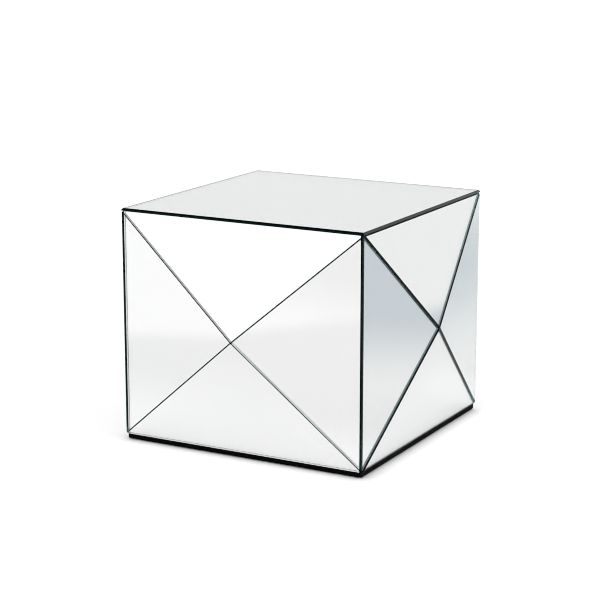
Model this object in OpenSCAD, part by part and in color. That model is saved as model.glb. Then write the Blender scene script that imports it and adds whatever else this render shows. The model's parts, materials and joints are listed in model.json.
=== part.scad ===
// Mirror-clad cube table. Each side is a shallow pyramid of four triangular mirror panes that meet at a
// peak, and one flat mirror covers the top. The panes are glued to mitred backer boards, which crossed
// ridge ribs hold off a doweled box. The box stands on a black rabbeted base board with four low glides.
// The origin is the middle of the footprint on the floor. The front faces -Y and +Z is up. Millimetres.

/* [Overall] */
// Width and depth over the cube's edges
width = 500; // [400:10:600]
// Height from the floor to the face of the top mirror
height = 444; // [360:4:520]
// How far each side's peak stands out from the cube's plane
peak = 32; // [24:1:40]

/* [Glass] */
// Thickness of the side panes
side_glass = 5; // [4:0.5:6]
// Thickness of the top mirror
top_glass = 5; // [4:0.5:8]
// Gap between the back arrises of two panes that share a ridge
ridge_gap = 0.4; // [0.2:0.1:1]
// Gap where a front or back pane butts behind the pane of the next side
butt_gap = 0.8; // [0.5:0.1:1.5]
// Thickness of the adhesive dabs behind the mirrors
dab_t = 1; // [0.8:0.1:2]

/* [Boards] */
// Thickness of the triangular backer boards
backer_t = 9; // [6:1:12]
// Thickness of the box's panels and of the top board
panel_t = 15; // [12:1:18]
// Thickness of the crossed ribs under the ridges
rib_t = 15; // [10:1:20]
// Clearance of a glued joint between two boards
joint = 0.2; // [0.1:0.05:0.4]

/* [Base] */
// Height of the glides
glide_h = 2; // [2:0.5:8]
// Diameter of the glides
glide_d = 28; // [20:1:40]
// Distance from the cube's planes to the middle of a glide
glide_inset = 60; // [40:5:100]
// Thickness of the base board's edge that shows under the mirrors
base_lip = 9.5; // [4:0.5:12]
// Thickness of the base board inside the rabbet, above that edge
base_step = 6; // [4:0.5:10]
// How far the base board's edge stands back from the cube's planes
base_inset = 3; // [2:0.5:8]

/* [Fixings] */
// Diameter of the dowels at the box's corners
dowel_d = 8; // [6:1:8]
// Length of the dowels
dowel_l = 32; // [26:1:36]
// Dowels at each corner
dowels_per_corner = 3; // [2:1:4]
// Shank diameter of the box screws
screw_d = 4; // [3:0.5:4]
// Length of the box screws
screw_l = 45; // [35:1:50]

/* [Hidden] */
SIDES = ["front", "right", "back", "left"];
FACETS = ["top", "left", "bottom", "right"];
CORNERS = ["front_left", "front_right", "back_right", "back_left"];
CORNER_SIGNS = [[-1, -1], [1, -1], [1, 1], [-1, 1]];
$fn = 48;

wood = [0.76, 0.62, 0.45];
black = [0.03, 0.03, 0.03];
silver = [0.86, 0.9, 0.9];
steel = [0.7, 0.7, 0.72];
glue = [0.9, 0.88, 0.82];

hole_fit = 0.05;                                 // radial clearance of a dowel or screw in its hole
head_h = 2.2;                                    // height of a countersunk head
glide_screw_d = 3;
glide_screw_l = 9;
glide_recess = 0.4;                              // the screw's head sits this far up inside the glide
glide_chamfer = 0.5;
rib_span = 0.88;                                 // share of a side that the ribs reach over
screw_spread = 0.55;                             // a screw's place between a panel's middle and its end
dab_r = 12;
dab_aside = 0.45;                                // a facet's outer dabs, as a share of its half base
dab_down = 0.8;                                  // and of its length from the peak
dab_middle = 0.5;                                // its middle dab, as a share of its length
top_dab_spread = 0.7;                            // the top mirror's outer dabs, as a share of the box's half

half_w = width / 2;
air = 0.2;                                       // clearance between a mirror and the board under it
lip_top = glide_h + base_lip;
pane_low = lip_top + air;                        // lower edge of the side panes
top_under = height - top_glass;                  // underside of the top mirror
pane_high = top_under - air;                     // upper edge of the side panes
half_h = (pane_high - pane_low) / 2;
mid_z = (pane_high + pane_low) / 2;              // height of the peaks
reach = 2 * width;                               // longer than anything in the part

// The backer boards lie in a layer behind the panes and their dabs
backer_face = side_glass + dab_t;
backer_back = backer_face + backer_t;
slope_tb = sqrt(1 + pow(peak / half_h, 2));      // depth square to the wall over depth square to a facet
slope_lr = sqrt(1 + pow(peak / half_w, 2));
panel_face = half_w - backer_back * slope_tb - joint;    // outer face of the box's panels
box_low = lip_top + base_step;
box_high = top_under - dab_t - panel_t;          // top of the side panels, under the top board
dowel_into_face = panel_t * 2 / 3;               // how deep a dowel goes into a side panel's face

// Two panes that share a ridge turn from each other by ridge_turn, so their square edges nearly touch at
// the back and stand open at the front
ridge_turn = acos(1 / (slope_tb * slope_lr));
ridge_inset = side_glass * tan(ridge_turn / 2) + ridge_gap / 2;
butt_inset = side_glass + butt_gap;

function lapped(side) = side % 2 == 1;           // the right and left sides' panes run over the others' ends
function upright(facet) = facet % 2 == 1;        // the facet's base edge is vertical
function run(facet) = upright(facet) ? half_w : half_h;
function base_half(facet) = upright(facet) ? half_h : half_w;
function facet_len(facet) = sqrt(pow(run(facet), 2) + pow(peak, 2));

// A side's frame: X across the side, Y up, Z outward, with its origin in the cube's plane behind the peak
module on_side(side)
    rotate([0, 0, 90 * side]) translate([0, -half_w, mid_z]) rotate([90, 0, 0]) children();

// A facet's frame: origin at the peak, Y down the middle of the facet to its base edge, Z out of the glass
module on_facet(side, facet)
    on_side(side) translate([0, 0, peak]) rotate([0, 0, 90 * facet])
        rotate([-atan(peak / run(facet)), 0, 0]) children();

// Outline of a pane: the facet's triangle, less the ridge insets, a butted base edge or cut-back tips
module pane_outline(side, facet) {
    half = base_half(facet);
    len = facet_len(facet);
    flank = atan(half / len);
    tip = ridge_inset / sin(flank);
    butted = upright(facet) && !lapped(side);
    base = butted ? len - butt_inset : len;
    widest = (base - tip) * tan(flank);
    cut = !upright(facet) && !lapped(side) ? half_w - butt_inset : widest;
    if (cut < widest) {
        shoulder = tip + cut / tan(flank);
        polygon([[0, tip], [cut, shoulder], [cut, base], [-cut, base], [-cut, shoulder]]);
    } else {
        polygon([[0, tip], [widest, base], [-widest, base]]);
    }
}

module pane(side, facet)
    color(silver) on_facet(side, facet) translate([0, 0, -side_glass])
        linear_extrude(side_glass) pane_outline(side, facet);

// The wedge of a side that belongs to one facet, bounded by upright planes through the ridges
module facet_sector(facet) {
    half = base_half(facet);
    start = joint / sin(atan(half / run(facet)));
    rotate([0, 0, 90 * facet]) translate([0, start, -reach / 2])
        linear_extrude(reach) polygon([[0, 0], [2 * half, 2 * run(facet)], [-2 * half, 2 * run(facet)]]);
}

// A mitred triangular board behind one pane
module backer(side, facet) {
    across = lapped(side) ? half_w - backer_face - joint : panel_face;
    color(wood) intersection() {
        on_facet(side, facet) translate([-reach / 2, -reach / 2, -backer_back])
            cube([reach, reach, backer_t]);
        on_side(side) facet_sector(facet);
        on_side(side) translate([-across, -half_h, -reach / 2]) cube([2 * across, 2 * half_h, reach]);
    }
}

// Everything behind the backer boards of one side: a shallow pyramid that the ribs are planed to
module behind_backers(side)
    intersection_for(facet = [0 : 3])
        on_facet(side, facet) translate([-reach / 2, -reach / 2, -reach - backer_back - joint])
            cube([reach, reach, reach]);

// A straight strip along one diagonal of a side; rising runs from the lower left to the upper right
module diagonal_strip(side, rising, strip_t, low, high)
    on_side(side) rotate([0, 0, (rising ? 1 : -1) * atan(half_h / half_w)])
        translate([-reach / 2, -strip_t / 2, low]) cube([reach, strip_t, high - low]);

// One of the two crossed ribs under a side's ridges, half-lapped where they cross
module rib(side, rising) {
    seat = panel_face - half_w;                  // the panel's outer face, in the side's frame
    lap = (seat + peak - backer_back * slope_tb) / 2;
    color(wood) difference() {
        intersection() {
            diagonal_strip(side, rising, rib_t, seat + joint, peak);
            behind_backers(side);
            on_side(side) translate([-rib_span * half_w, -rib_span * half_h, seat])
                cube([2 * rib_span * half_w, 2 * rib_span * half_h, reach]);
        }
        if (rising) diagonal_strip(side, false, rib_t + joint, lap - joint / 2, peak);
        else diagonal_strip(side, true, rib_t + joint, seat, lap + joint / 2);
    }
}

// A glued dowel from the end of a front or back panel into the face of a side panel
function dowel_z(i) = box_low + (box_high - box_low) * (i + 0.5) / dowels_per_corner;
module each_dowel(side_sign, end_sign, grow, spare) {
    middle_y = panel_face - panel_t / 2;
    face_x = panel_face - panel_t;
    for (i = [0 : dowels_per_corner - 1])
        translate([side_sign * (face_x + dowel_into_face), end_sign * middle_y, dowel_z(i)])
            rotate([0, -90 * side_sign, 0])
                translate([0, 0, -spare]) cylinder(d = dowel_d + 2 * grow, h = dowel_l + 2 * spare);
}

module corner_dowels()
    color(wood) for (s = CORNER_SIGNS) each_dowel(s[0], s[1], 0, -joint);

// A countersunk screw that points up, its head's face at the origin
module screw(shank_d, length, grow = 0) {
    cylinder(d1 = 2 * shank_d + 2 * grow, d2 = shank_d + 2 * grow, h = head_h);
    cylinder(d = shank_d + 2 * grow, h = length + grow);
}

// Two screws into each of the box's panels, through the board above (up = -1) or below (up = 1)
module each_box_screw(up, grow) {
    along = screw_spread * panel_face;
    across = panel_face - panel_t / 2;
    level = up > 0 ? glide_h : top_under - dab_t;
    for (side = [0 : 3], end = [-1, 1])
        rotate([0, 0, 90 * side]) translate([end * along, -across, level]) mirror([0, 0, up > 0 ? 0 : 1])
            screw(screw_d, screw_l, grow);
}

module top_screws() color(steel) each_box_screw(-1, 0);
module base_screws() color(black) each_box_screw(1, 0);

// One panel of the box: the side ones run the full depth, and the front and back ones fit between them
module panel(side) {
    half = lapped(side) ? panel_face : panel_face - panel_t - joint / 2;
    color(wood) difference() {
        rotate([0, 0, 90 * side]) translate([-half, -panel_face, box_low])
            cube([2 * half, panel_t, box_high - box_low]);
        for (s = CORNER_SIGNS) each_dowel(s[0], s[1], hole_fit, 0);
        each_box_screw(1, hole_fit);
        each_box_screw(-1, hole_fit);
    }
}

module top_board()
    color(wood) difference() {
        translate([-panel_face, -panel_face, box_high]) cube([2 * panel_face, 2 * panel_face, panel_t]);
        each_box_screw(-1, hole_fit);
    }

// The black base board: a wide lip that the panes and backers stand on, and a rabbeted step inside them
module base_board() {
    lip = half_w - base_inset;
    color(black) difference() {
        union() {
            translate([-lip, -lip, glide_h]) cube([2 * lip, 2 * lip, base_lip]);
            translate([-panel_face, -panel_face, glide_h])
                cube([2 * panel_face, 2 * panel_face, base_lip + base_step]);
        }
        each_box_screw(1, hole_fit);
        glide_screw_set(hole_fit);
    }
}

module top_mirror()
    color(silver) translate([-half_w, -half_w, top_under]) cube([width, width, top_glass]);

// Adhesive dabs: three behind each side pane and a grid under the top mirror
module facet_dabs(side, facet) {
    aside = dab_aside * base_half(facet);
    len = facet_len(facet);
    for (at = [[0, dab_middle * len], [-aside, dab_down * len], [aside, dab_down * len]])
        on_facet(side, facet) translate([at[0], at[1], -backer_face]) cylinder(r = dab_r, h = dab_t);
}

module mirror_dabs()
    color(glue) {
        for (side = [0 : 3], facet = [0 : 3]) facet_dabs(side, facet);
        for (x = [-1 : 1], y = [-1 : 1])
            translate([x * top_dab_spread * panel_face, y * top_dab_spread * panel_face, top_under - dab_t])
                cylinder(r = dab_r, h = dab_t);
    }

// Low black glides near the corners, each held by one small countersunk screw
module at_glide(corner)
    translate([corner[0] * (half_w - glide_inset), corner[1] * (half_w - glide_inset), 0]) children();

module glide_screw_set(grow)
    for (c = CORNER_SIGNS) at_glide(c) translate([0, 0, glide_recess]) screw(glide_screw_d, glide_screw_l, grow);

module glide(corner)
    color(black) difference() {
        at_glide(corner) union() {
            cylinder(d1 = glide_d - 2 * glide_chamfer, d2 = glide_d, h = glide_chamfer);
            translate([0, 0, glide_chamfer]) cylinder(d = glide_d, h = glide_h - glide_chamfer);
        }
        glide_screw_set(hole_fit);
        at_glide(corner) translate([0, 0, -glide_recess])
            cylinder(d = 2 * glide_screw_d + 2 * hole_fit, h = 2 * glide_recess);
    }

module glide_screws() color(steel) glide_screw_set(0);

top_mirror();
top_board();
base_board();
mirror_dabs();
corner_dowels();
top_screws();
base_screws();
glide_screws();
for (i = [0 : 3]) {
    glide(CORNER_SIGNS[i]);
    panel(i);
    rib(i, true);
    rib(i, false);
}
for (s = [0 : 3], f = [0 : 3]) {
    pane(s, f);
    backer(s, f);
}
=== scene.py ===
import json
import math

import bmesh
import bpy
from mathutils import Matrix, Vector

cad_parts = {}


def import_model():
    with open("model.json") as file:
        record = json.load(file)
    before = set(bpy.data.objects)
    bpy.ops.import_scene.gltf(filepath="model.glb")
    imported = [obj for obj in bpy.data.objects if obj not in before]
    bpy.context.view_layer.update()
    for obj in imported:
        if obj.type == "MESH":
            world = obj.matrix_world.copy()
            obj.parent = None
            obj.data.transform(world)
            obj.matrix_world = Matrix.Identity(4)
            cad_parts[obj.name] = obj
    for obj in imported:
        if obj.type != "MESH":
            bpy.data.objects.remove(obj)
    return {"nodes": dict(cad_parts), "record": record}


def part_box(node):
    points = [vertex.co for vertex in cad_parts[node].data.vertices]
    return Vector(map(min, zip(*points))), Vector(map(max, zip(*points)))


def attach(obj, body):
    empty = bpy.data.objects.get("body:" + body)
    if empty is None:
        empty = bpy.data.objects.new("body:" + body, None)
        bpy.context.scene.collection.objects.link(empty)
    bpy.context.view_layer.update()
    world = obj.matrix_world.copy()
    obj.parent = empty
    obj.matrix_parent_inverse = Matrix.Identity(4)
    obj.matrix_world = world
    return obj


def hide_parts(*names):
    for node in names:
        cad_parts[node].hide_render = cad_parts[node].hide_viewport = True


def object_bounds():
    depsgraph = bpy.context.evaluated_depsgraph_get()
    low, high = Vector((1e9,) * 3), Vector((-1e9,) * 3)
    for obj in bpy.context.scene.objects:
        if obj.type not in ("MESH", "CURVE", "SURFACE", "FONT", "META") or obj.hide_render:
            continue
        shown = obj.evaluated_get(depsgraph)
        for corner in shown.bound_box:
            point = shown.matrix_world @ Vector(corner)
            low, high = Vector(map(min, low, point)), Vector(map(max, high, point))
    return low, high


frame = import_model()
cad_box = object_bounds()

MM = 0.001
TOUCH = 0.01 * MM  # corners closer than this are the same corner
FLAT = 0.01  # radians between two faces that are one face
SHARP = 1.0  # radians between two faces that meet in a sharp edge
SQUARE_ON = 0.999  # cosines: a face that faces a direction squarely,
EDGE_ON = 0.1  # one that is seen along it,
UPRIGHT = 0.01  # and one that stands upright
SIDES = ("front", "right", "back", "left")
FACETS = ("top", "left", "bottom", "right")
FRONT_WAY = (0.0, -1.0, 0.0)
BACK_WAY = (0.0, 1.0, 0.0)
RIGHT_WAY = (1.0, 0.0, 0.0)
UP = (0.0, 0.0, 1.0)

# Mirrors
# Leg of the ground arris round the front of a mirror: the right and left panes, which run over the front and
# back ones at the cube's upright corners, have a wide one
TOP_ARRIS = 2.6 * MM
LAPPED_ARRIS = 2.4 * MM
BUTTED_ARRIS = 0.45 * MM
CORNER_ARRIS = 1.2 * MM  # at the cube's upright corners, polished
ARRIS_BACK = 0.3 * MM  # leg of the smaller arris round its silvered back
COATING = 0.05 * MM  # the silver and its paint, which take up the last of the thickness
GLASS_IOR = 1.52
GLASS_LOSS = (19.0, 10.0, 11.0)  # what the glass takes out of the light per metre: most red, least green
SILVER = (0.985, 0.895, 0.905)  # a little warm, so that the finished mirror is neutral
# Tints of a pane's faces, kept as a face attribute. The cuts are ground, not bright, and look into the dark
# green of the sheet. Those at the cube's upright corners are polished, and let more of its colour out.
TINT = "cut_tint"
CLEAR_TINT = (1.0, 1.0, 1.0, 1.0)
CUT_TINT = (0.018, 0.05, 0.052, 1.0)
CORNER_TINT = (0.01, 0.22, 0.24, 1.0)

# Base board
LIP_ARRIS = 0.5 * MM  # eased edge of the board's lip

# Studio: radiance, where 1 is the white of the picture
SOFT_LIGHT = 1.3  # what falls on the floor and the boards from all round
HORIZON = 1.02
CEILING = 0.35
CEILING_RISE = (0.5, 0.85)  # sines of the heights between which the walls turn into the ceiling
WINDOW = 1.3  # the large window that the front mirrors
WINDOW_WAY = (-0.48, -0.877, 0.05)
WINDOW_GLOW = (math.radians(70), math.radians(20))  # off its middle: where it starts and where it is full

# Floor: colours, with painted light and painted shade among them, and places in metres from the cube's
# middle. Each pair is where a change starts and ends.
FLOOR_RADIUS = 40.0
FLOOR_PLAIN = (0.82, 0.82, 0.82)
# Painted light: the brighter floor colour that stands in for light falling on it
FLOOR_PAINTED_LIGHT = (0.93, 0.93, 0.93)
# Painted shade: the greyer floor colour of the shaded patch
FLOOR_PAINTED_SHADE = (0.56, 0.60, 0.63)
# Painted light: the window's light painted on the floor as a brighter colour, along its own way, and where it
# ends towards the front
PAINTED_LIGHT_WAY = (-0.593, -0.805, 0.0)
PAINTED_LIGHT_FROM = (1.05, 1.22)
PAINTED_LIGHT_END_WAY = (0.5, -0.866, 0.0)
PAINTED_LIGHT_END = (0.95, 1.6)
# A patch of painted shade on the floor behind on the right, which the right side mirrors: middle, reach and
# turn
PAINTED_SHADE_MIDDLE = (1.10, 1.35, 0.0)
PAINTED_SHADE_REACH = (0.94, 1.5, 1.0)
PAINTED_SHADE_TURN = math.radians(19.4)
PAINTED_SHADE_FADE = (0.45, 1.1)  # in parts of its reach
# Painted light: brighter floor colour beside the front and right sides, standing in for the light that they
# throw down beside themselves
PAINTED_STRIP_START = (0.24, 0.28)
FRONT_PAINTED_STRIP_FADE = (0.32, 0.65)
RIGHT_PAINTED_STRIP_FADE = (0.32, 0.46)
RIGHT_PAINTED_STRIP_BACK = (0.3, 0.6)

# Camera, set so that the cube's corners fall where they should
SENSOR = 36.0  # mm
LENS = 111.20  # mm
AZIMUTH = math.radians(28.70)
TILT = math.radians(13.15)
DISTANCE = 3.5563
ASIDE = 0.01058  # the view's centre stands this far left of the cube's middle
ABOVE = 0.02425  # and this far above it
CLIP = (0.1, 200.0)

MIRROR_BOUNCES = 48  # enough for light that runs along inside the glass
DIFFUSE_BOUNCES = 4


class Nodes:
    """A short way to build a node tree."""

    def __init__(self, tree):
        self.tree = tree
        tree.nodes.clear()

    def add(self, kind, inputs=None, **settings):
        """A node, with each input a value or a socket to link."""
        node = self.tree.nodes.new(kind)
        for name, value in settings.items():
            setattr(node, name, value)
        for name, value in (inputs or {}).items():
            if isinstance(value, bpy.types.NodeSocket):
                self.tree.links.new(value, node.inputs[name])
            else:
                node.inputs[name].default_value = value
        return node

    def ramp(self, value, low, high, to_low=0.0, to_high=1.0):
        """A smooth step from to_low at low to to_high at high."""
        inputs = {"Value": value, "From Min": low, "From Max": high, "To Min": to_low, "To Max": to_high}
        return self.add("ShaderNodeMapRange", inputs, interpolation_type="SMOOTHSTEP").outputs[0]

    def mix(self, share, a, b):
        """A mix of two colours, each three numbers or a socket."""
        node = self.add("ShaderNodeMix", {"Factor": share}, data_type="RGBA")
        for index, value in ((6, a), (7, b)):
            if isinstance(value, bpy.types.NodeSocket):
                self.tree.links.new(value, node.inputs[index])
            else:
                node.inputs[index].default_value = (*value, 1.0)
        return node.outputs[2]

    def place(self, scale=(1.0, 1.0, 1.0)):
        """Object coordinates in metres, stretched by scale."""
        where = self.add("ShaderNodeTexCoord").outputs["Object"]
        return self.add("ShaderNodeMapping", {"Vector": where, "Scale": scale}).outputs[0]

    def along(self, vector, direction):
        """How far a vector reaches along a direction."""
        inputs = {0: vector, 1: direction}
        return self.add("ShaderNodeVectorMath", inputs, operation="DOT_PRODUCT").outputs["Value"]

    def noise(self, where, scale, detail=2.0, rough=0.5):
        """Cloudy noise from 0 to 1."""
        inputs = {"Vector": where, "Scale": scale, "Detail": detail, "Roughness": rough}
        return self.add("ShaderNodeTexNoise", inputs).outputs[0]

    def specks(self, where, scale):
        """Distance to the nearest of many scattered points, in cells."""
        return self.add("ShaderNodeTexVoronoi", {"Vector": where, "Scale": scale}).outputs["Distance"]

    def bump(self, height, strength, distance):
        """A normal tilted by a height that stands for a depth in metres."""
        inputs = {"Height": height, "Strength": strength, "Distance": distance}
        return self.add("ShaderNodeBump", inputs).outputs[0]

    def principled(self, inputs):
        """The general surface shader."""
        return self.add("ShaderNodeBsdfPrincipled", inputs).outputs[0]

    def surface(self, shader, volume=None):
        """Ends the tree with a surface and, for glass, what fills it."""
        inputs = {"Surface": shader} if volume is None else {"Surface": shader, "Volume": volume}
        self.add("ShaderNodeOutputMaterial", inputs)


def material(name):
    """A new material and its empty tree."""
    made = bpy.data.materials.new(name)
    made.use_nodes = True
    return made, Nodes(made.node_tree)


# Materials

def mirror_glass():
    """Polished float glass with a green body, which shows where light runs along inside the sheet."""
    made, n = material("mirror_glass")
    dust = n.ramp(n.noise(n.place(), 9.0, 5.0, 0.6), 0.45, 0.75, 0.0, 0.003)
    tint = n.add("ShaderNodeAttribute", attribute_name=TINT).outputs["Color"]
    body = n.principled({
        "Base Color": tint, "Specular Tint": tint, "Roughness": dust, "IOR": GLASS_IOR,
        "Transmission Weight": 1.0})
    longest = max(GLASS_LOSS)
    kept = [1.0 - loss / longest for loss in GLASS_LOSS]
    inside = n.add("ShaderNodeVolumeAbsorption", {"Color": (*kept, 1.0), "Density": longest}).outputs[0]
    n.surface(body, inside)
    return made


def mirror_silver():
    """The silver behind the glass, with the faintest cloudiness."""
    made, n = material("mirror_silver")
    cloud = n.ramp(n.noise(n.place(), 14.0, 4.0), 0.3, 0.8)
    colour = n.mix(cloud, SILVER, [0.995 * part for part in SILVER])
    n.surface(n.principled({"Base Color": colour, "Metallic": 1.0, "Roughness": 0.0}))
    return made


def fibreboard(name, pale, dark, nap):
    """Raw fibreboard: pressed fibres in two scales of fleck, and a faint nap."""
    made, n = material(name)
    where = n.place()
    clouds = n.noise(where, 25.0, 3.0)
    flecks = n.specks(n.place((1.0, 1.0, 2.5)), 700.0)
    colour = n.mix(n.ramp(clouds, 0.3, 0.7), pale, dark)
    colour = n.mix(n.ramp(flecks, 0.05, 0.3, 0.45, 0.0), colour, [0.6 * part for part in dark])
    n.surface(n.principled({
        "Base Color": colour, "Roughness": n.ramp(clouds, 0.3, 0.7, 0.82, 0.92), "Specular IOR Level": 0.25,
        "Normal": n.bump(n.noise(where, 1400.0, 4.0, 0.7), nap, 0.0002)}))
    return made


def black_paint(name, level, gloss, roughness, orange_peel):
    """Black paint on fibreboard: slightly uneven sheen over the board's fine orange peel."""
    made, n = material(name)
    where = n.place()
    worn = n.ramp(n.noise(where, 40.0, 5.0, 0.6), 0.55, 0.8)
    n.surface(n.principled({
        "Base Color": n.mix(worn, (level, level, level), (2.0 * level, 2.0 * level, 2.1 * level)),
        "Roughness": n.ramp(n.noise(where, 60.0, 4.0), 0.3, 0.7, roughness, roughness + 0.12),
        "Specular IOR Level": gloss,
        "Normal": n.bump(n.noise(where, 900.0, 3.0), orange_peel, 0.0002)}))
    return made


def beech():
    """Turned beech dowel: fine grain along it with short dark rays."""
    made, n = material("beech")
    grain = n.noise(n.place((0.08, 1.0, 1.0)), 900.0, 4.0, 0.6)
    rays = n.specks(n.place((0.2, 1.0, 1.0)), 1100.0)
    colour = n.mix(n.ramp(grain, 0.35, 0.7), (0.68, 0.50, 0.33), (0.50, 0.34, 0.21))
    colour = n.mix(n.ramp(rays, 0.05, 0.2, 0.6, 0.0), colour, (0.33, 0.20, 0.11))
    n.surface(n.principled({
        "Base Color": colour, "Roughness": 0.62, "Normal": n.bump(grain, 0.3, 0.0001)}))
    return made


def adhesive():
    """Cured mirror adhesive: milky and slightly rubbery, with a dusty skin."""
    made, n = material("adhesive")
    skin = n.noise(n.place(), 220.0, 4.0, 0.6)
    n.surface(n.principled({
        "Base Color": n.mix(n.ramp(skin, 0.35, 0.7), (0.66, 0.64, 0.58), (0.56, 0.54, 0.48)),
        "Roughness": n.ramp(skin, 0.3, 0.7, 0.35, 0.55), "Subsurface Weight": 0.15, "Subsurface Scale": 0.002,
        "Normal": n.bump(skin, 0.3, 0.0003)}))
    return made


def screw_metal(name, colour, stain, roughness):
    """Plated or blackened steel, drawn along the screw and a little stained."""
    made, n = material(name)
    drawn = n.noise(n.place((1.0, 1.0, 0.1)), 1500.0, 3.0)
    clouds = n.noise(n.place(), 160.0, 4.0)
    n.surface(n.principled({
        "Base Color": n.mix(n.ramp(clouds, 0.4, 0.75), colour, stain), "Metallic": 1.0,
        "Roughness": n.ramp(drawn, 0.3, 0.7, roughness, roughness + 0.15),
        "Normal": n.bump(drawn, 0.15, 0.00005)}))
    return made


def moulded_nylon():
    """Black moulded nylon: fine spark-eroded texture, scuffed grey where it slides on the floor."""
    made, n = material("moulded_nylon")
    where = n.place()
    grain = n.noise(where, 1800.0, 2.0)
    height = n.add("ShaderNodeSeparateXYZ", {"Vector": where}).outputs["Z"]
    scuff = n.ramp(height, 0.0001, 0.0006, 0.5, 0.0)
    n.surface(n.principled({
        "Base Color": n.mix(scuff, (0.012, 0.012, 0.013), (0.05, 0.05, 0.05)),
        "Roughness": n.ramp(grain, 0.3, 0.7, 0.45, 0.6), "Specular IOR Level": 0.3,
        "Normal": n.bump(grain, 0.25, 0.0001)}))
    return made


def slot_materials():
    """The material of each of the record's slots, apart from the mirrors."""
    return {
        "board": fibreboard("board", (0.50, 0.37, 0.23), (0.42, 0.30, 0.18), 0.2),
        "rib_board": fibreboard("rib_board", (0.47, 0.34, 0.21), (0.37, 0.26, 0.15), 0.6),
        "backer_board": black_paint("backer_paint", 0.004, 0.1, 0.75, 0.4),
        "black_base": black_paint("base_paint", 0.001, 0.03, 0.55, 0.25),
        "dowel_wood": beech(),
        "adhesive": adhesive(),
        "screw_steel": screw_metal("zinc_plate", (0.62, 0.63, 0.66), (0.50, 0.50, 0.49), 0.28),
        "black_screw": screw_metal("black_phosphate", (0.03, 0.03, 0.032), (0.05, 0.045, 0.04), 0.5),
        "glide": moulded_nylon(),
    }


# Pieces

def cad_copy(node):
    """A CAD node's mesh with its split corners joined and its flat triangles dissolved."""
    bm = bmesh.new()
    bm.from_mesh(frame["nodes"][node].data)
    bmesh.ops.remove_doubles(bm, verts=bm.verts, dist=TOUCH)
    bmesh.ops.dissolve_limit(bm, angle_limit=FLAT, verts=bm.verts, edges=bm.edges)
    return bm


def is_upright(edge):
    """Whether an edge runs straight up."""
    start, end = edge.verts
    return abs(start.co.z - end.co.z) > SQUARE_ON * edge.calc_length()


def ease(bm, edges, leg):
    """Cuts an arris along some edges."""
    if not edges:
        return
    bmesh.ops.bevel(
        bm, geom=edges, offset=leg, segments=1, profile=0.5, affect="EDGES", offset_type="OFFSET")


def add_piece(bm, name, node, materials):
    """Makes a piece of a mesh that stands for a CAD node."""
    mesh = bpy.data.meshes.new(name)
    for made in materials:
        mesh.materials.append(made)
    bm.to_mesh(mesh)
    bm.free()
    piece = bpy.data.objects.new(name, mesh)
    bpy.context.scene.collection.objects.link(piece)
    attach(piece, "root")
    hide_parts(node)


def face_tint(normal, facing):
    """The tint of a pane's face, from its normal and how squarely that faces backward."""
    if abs(facing) > SQUARE_ON:
        return CLEAR_TINT
    if abs(normal.z) > UPRIGHT:
        return CUT_TINT
    return CORNER_TINT if abs(facing) < EDGE_ON else CLEAR_TINT


def pane(node, name, arris, glass, silver):
    """A mirror: the CAD solid with arrises ground on its edges, clear in front and silvered behind."""
    low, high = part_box(node)
    middle = (low + high) / 2
    outward = Vector(UP) if node == "top_mirror" else Vector((middle.x, middle.y, 0)).normalized()
    bm = cad_copy(node)
    large = sorted(bm.faces, key=lambda face: face.calc_area())[-2:]
    front = max(large, key=lambda face: face.normal.dot(outward))
    back = min(large, key=lambda face: face.normal.dot(outward))
    behind = back.normal.copy()
    for corner in back.verts:
        corner.co -= COATING * behind
    front_normal = front.normal.copy()
    ease(bm, [edge for edge in front.edges if not is_upright(edge)], arris)
    front = max(bm.faces, key=lambda face: face.normal.dot(front_normal) * face.calc_area())
    ease(bm, [edge for edge in front.edges if is_upright(edge)], CORNER_ARRIS)
    ease(bm, list(back.edges), ARRIS_BACK)
    bmesh.ops.remove_doubles(bm, verts=bm.verts, dist=TOUCH)
    tint = bm.faces.layers.float_color.new(TINT)
    for face in bm.faces:
        facing = face.normal.dot(behind)
        face.material_index = 1 if facing > SQUARE_ON else 0
        face[tint] = face_tint(face.normal, facing)
        face.smooth = False
    add_piece(bm, name, node, (glass, silver))


def base(paint):
    """The base board with its lip's outer edges eased."""
    bm = cad_copy("base_board")
    low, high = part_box("base_board")

    def on_rim(edge):
        """Whether an edge runs round the outside of the lip."""
        return all(min(corner.co.x - low.x, high.x - corner.co.x) < TOUCH
                   or min(corner.co.y - low.y, high.y - corner.co.y) < TOUCH for corner in edge.verts)

    sharp = [edge for edge in bm.edges if on_rim(edge) and edge.calc_face_angle(0.0) > SHARP]
    ease(bm, sharp, LIP_ARRIS)
    add_piece(bm, "base_lip_board", "base_board", (paint,))


def build():
    """Cuts the mirrors and the base, and gives every other node its material."""
    glass = mirror_glass()
    silver = mirror_silver()
    pane("top_mirror", "top_glass", TOP_ARRIS, glass, silver)
    for side in SIDES:
        arris = LAPPED_ARRIS if side in ("right", "left") else BUTTED_ARRIS
        for facet in FACETS:
            pane(f"{side}_pane_{facet}", f"{side}_{facet}_glass", arris, glass, silver)
    finishes = slot_materials()
    base(finishes["black_base"])
    for part in frame["record"]["subparts"]:
        node = frame["nodes"][part["node"]]
        if part["material_slot"] in finishes:
            slot = node.material_slots[0]
            slot.link = "OBJECT"
            slot.material = finishes[part["material_slot"]]


# Studio

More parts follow.
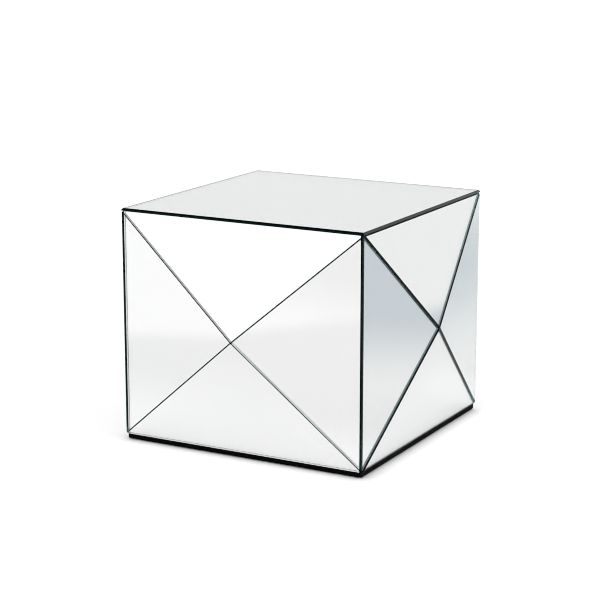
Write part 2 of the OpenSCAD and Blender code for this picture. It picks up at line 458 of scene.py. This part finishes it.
def world():
    """A pale studio: a bright window at the front left, white walls and a darker ceiling."""
    made = bpy.data.worlds.new("studio")
    made.use_nodes = True
    bpy.context.scene.world = made
    n = Nodes(made.node_tree)
    way = n.add("ShaderNodeTexCoord").outputs["Generated"]
    to_window = n.along(way, Vector(WINDOW_WAY).normalized())
    glow = n.ramp(to_window, *(math.cos(angle) for angle in WINDOW_GLOW))
    colour = n.mix(glow, [HORIZON] * 3, [WINDOW] * 3)
    colour = n.mix(n.ramp(n.along(way, UP), *CEILING_RISE), colour, [CEILING] * 3)
    # Whatever a floor or board has scattered once meets the same soft light all round
    scattered = n.ramp(n.add("ShaderNodeLightPath").outputs["Diffuse Depth"], 0.0, 1.0)
    background = n.add("ShaderNodeBackground", {"Color": n.mix(scattered, colour, [SOFT_LIGHT] * 3)})
    n.add("ShaderNodeOutputWorld", {"Surface": background.outputs[0]})
    made.cycles.sampling_method = "NONE"


def painted_strip_of_light(n, where, outward, fade, painted_bright, colour):
    """The floor's colour with a strip of painted light beside one side of the cube."""
    out = n.along(where, outward)
    painted_strip = n.mix(n.ramp(out, *fade), painted_bright, colour)
    return n.mix(n.ramp(out, *PAINTED_STRIP_START), colour, painted_strip)


def floor_colour_and_painted_light(n, where):
    """Pale, with painted light where it is brighter and painted shade where it is greyer, where only the
    mirrors see it.
    """
    # Painted light: a brighter pool of colour where the window lights the floor
    painted_lit = n.mix(n.ramp(n.along(where, PAINTED_LIGHT_END_WAY), *PAINTED_LIGHT_END), FLOOR_PAINTED_LIGHT, FLOOR_PLAIN)
    colour = n.mix(n.ramp(n.along(where, PAINTED_LIGHT_WAY), *PAINTED_LIGHT_FROM), FLOOR_PLAIN, painted_lit)
    # Painted shade: a greyer oval patch of floor behind on the right
    oval = {"Vector": where, "Location": PAINTED_SHADE_MIDDLE, "Rotation": (0.0, 0.0, PAINTED_SHADE_TURN), "Scale": PAINTED_SHADE_REACH}
    in_painted_shade = n.add("ShaderNodeMapping", oval, vector_type="TEXTURE").outputs[0]
    from_middle = n.add("ShaderNodeVectorMath", {0: in_painted_shade}, operation="LENGTH").outputs["Value"]
    colour = n.mix(n.ramp(from_middle, *PAINTED_SHADE_FADE), FLOOR_PAINTED_SHADE, colour)
    # Painted light: brighter strips of floor colour beside the front and right sides
    colour = painted_strip_of_light(n, where, FRONT_WAY, FRONT_PAINTED_STRIP_FADE, FLOOR_PAINTED_LIGHT, colour)
    painted_light_at_back = n.mix(n.ramp(n.along(where, BACK_WAY), *RIGHT_PAINTED_STRIP_BACK), FLOOR_PAINTED_LIGHT, colour)
    return painted_strip_of_light(n, where, RIGHT_WAY, RIGHT_PAINTED_STRIP_FADE, painted_light_at_back, colour)


def floor():
    """A round pale floor, with painted light and shade in its colour."""
    made, n = material("floor")
    colour = floor_colour_and_painted_light(n, n.place())
    n.surface(n.add("ShaderNodeBsdfDiffuse", {"Color": colour}).outputs[0])
    mesh = bpy.data.meshes.new("floor")
    bm = bmesh.new()
    bmesh.ops.create_circle(bm, cap_ends=True, radius=FLOOR_RADIUS, segments=64)
    bm.to_mesh(mesh)
    bm.free()
    mesh.materials.append(made)
    ground = bpy.data.objects.new("floor", mesh)
    bpy.context.scene.collection.objects.link(ground)


def camera():
    """A long lens from the front right, a little above."""
    low, high = cad_box
    middle = Vector((0, 0, (low.z + high.z) / 2))
    right = Vector((math.cos(AZIMUTH), math.sin(AZIMUTH), 0))
    level = Vector((-math.sin(AZIMUTH), math.cos(AZIMUTH), 0))
    forward = math.cos(TILT) * level - math.sin(TILT) * Vector(UP)
    up = right.cross(forward)
    data = bpy.data.cameras.new("camera")
    data.lens = LENS
    data.sensor_width = SENSOR
    data.clip_start, data.clip_end = CLIP
    made = bpy.data.objects.new("camera", data)
    turned = Matrix((right, up, -forward)).transposed().to_4x4()
    spot = middle - DISTANCE * forward - ASIDE * right + ABOVE * up
    made.matrix_world = Matrix.Translation(spot) @ turned
    bpy.context.scene.collection.objects.link(made)
    bpy.context.scene.camera = made


def light_paths():
    """Enough bounces for light that runs along inside the glass, and plain colours on the way out."""
    scene = bpy.context.scene
    scene.view_settings.view_transform = "Standard"
    cycles = scene.cycles
    cycles.max_bounces = MIRROR_BOUNCES
    cycles.transmission_bounces = MIRROR_BOUNCES
    cycles.glossy_bounces = MIRROR_BOUNCES
    cycles.diffuse_bounces = DIFFUSE_BOUNCES
    cycles.blur_glossy = 0.0
    cycles.filter_width = 1.0


build()
world()
floor()
camera()
light_paths()
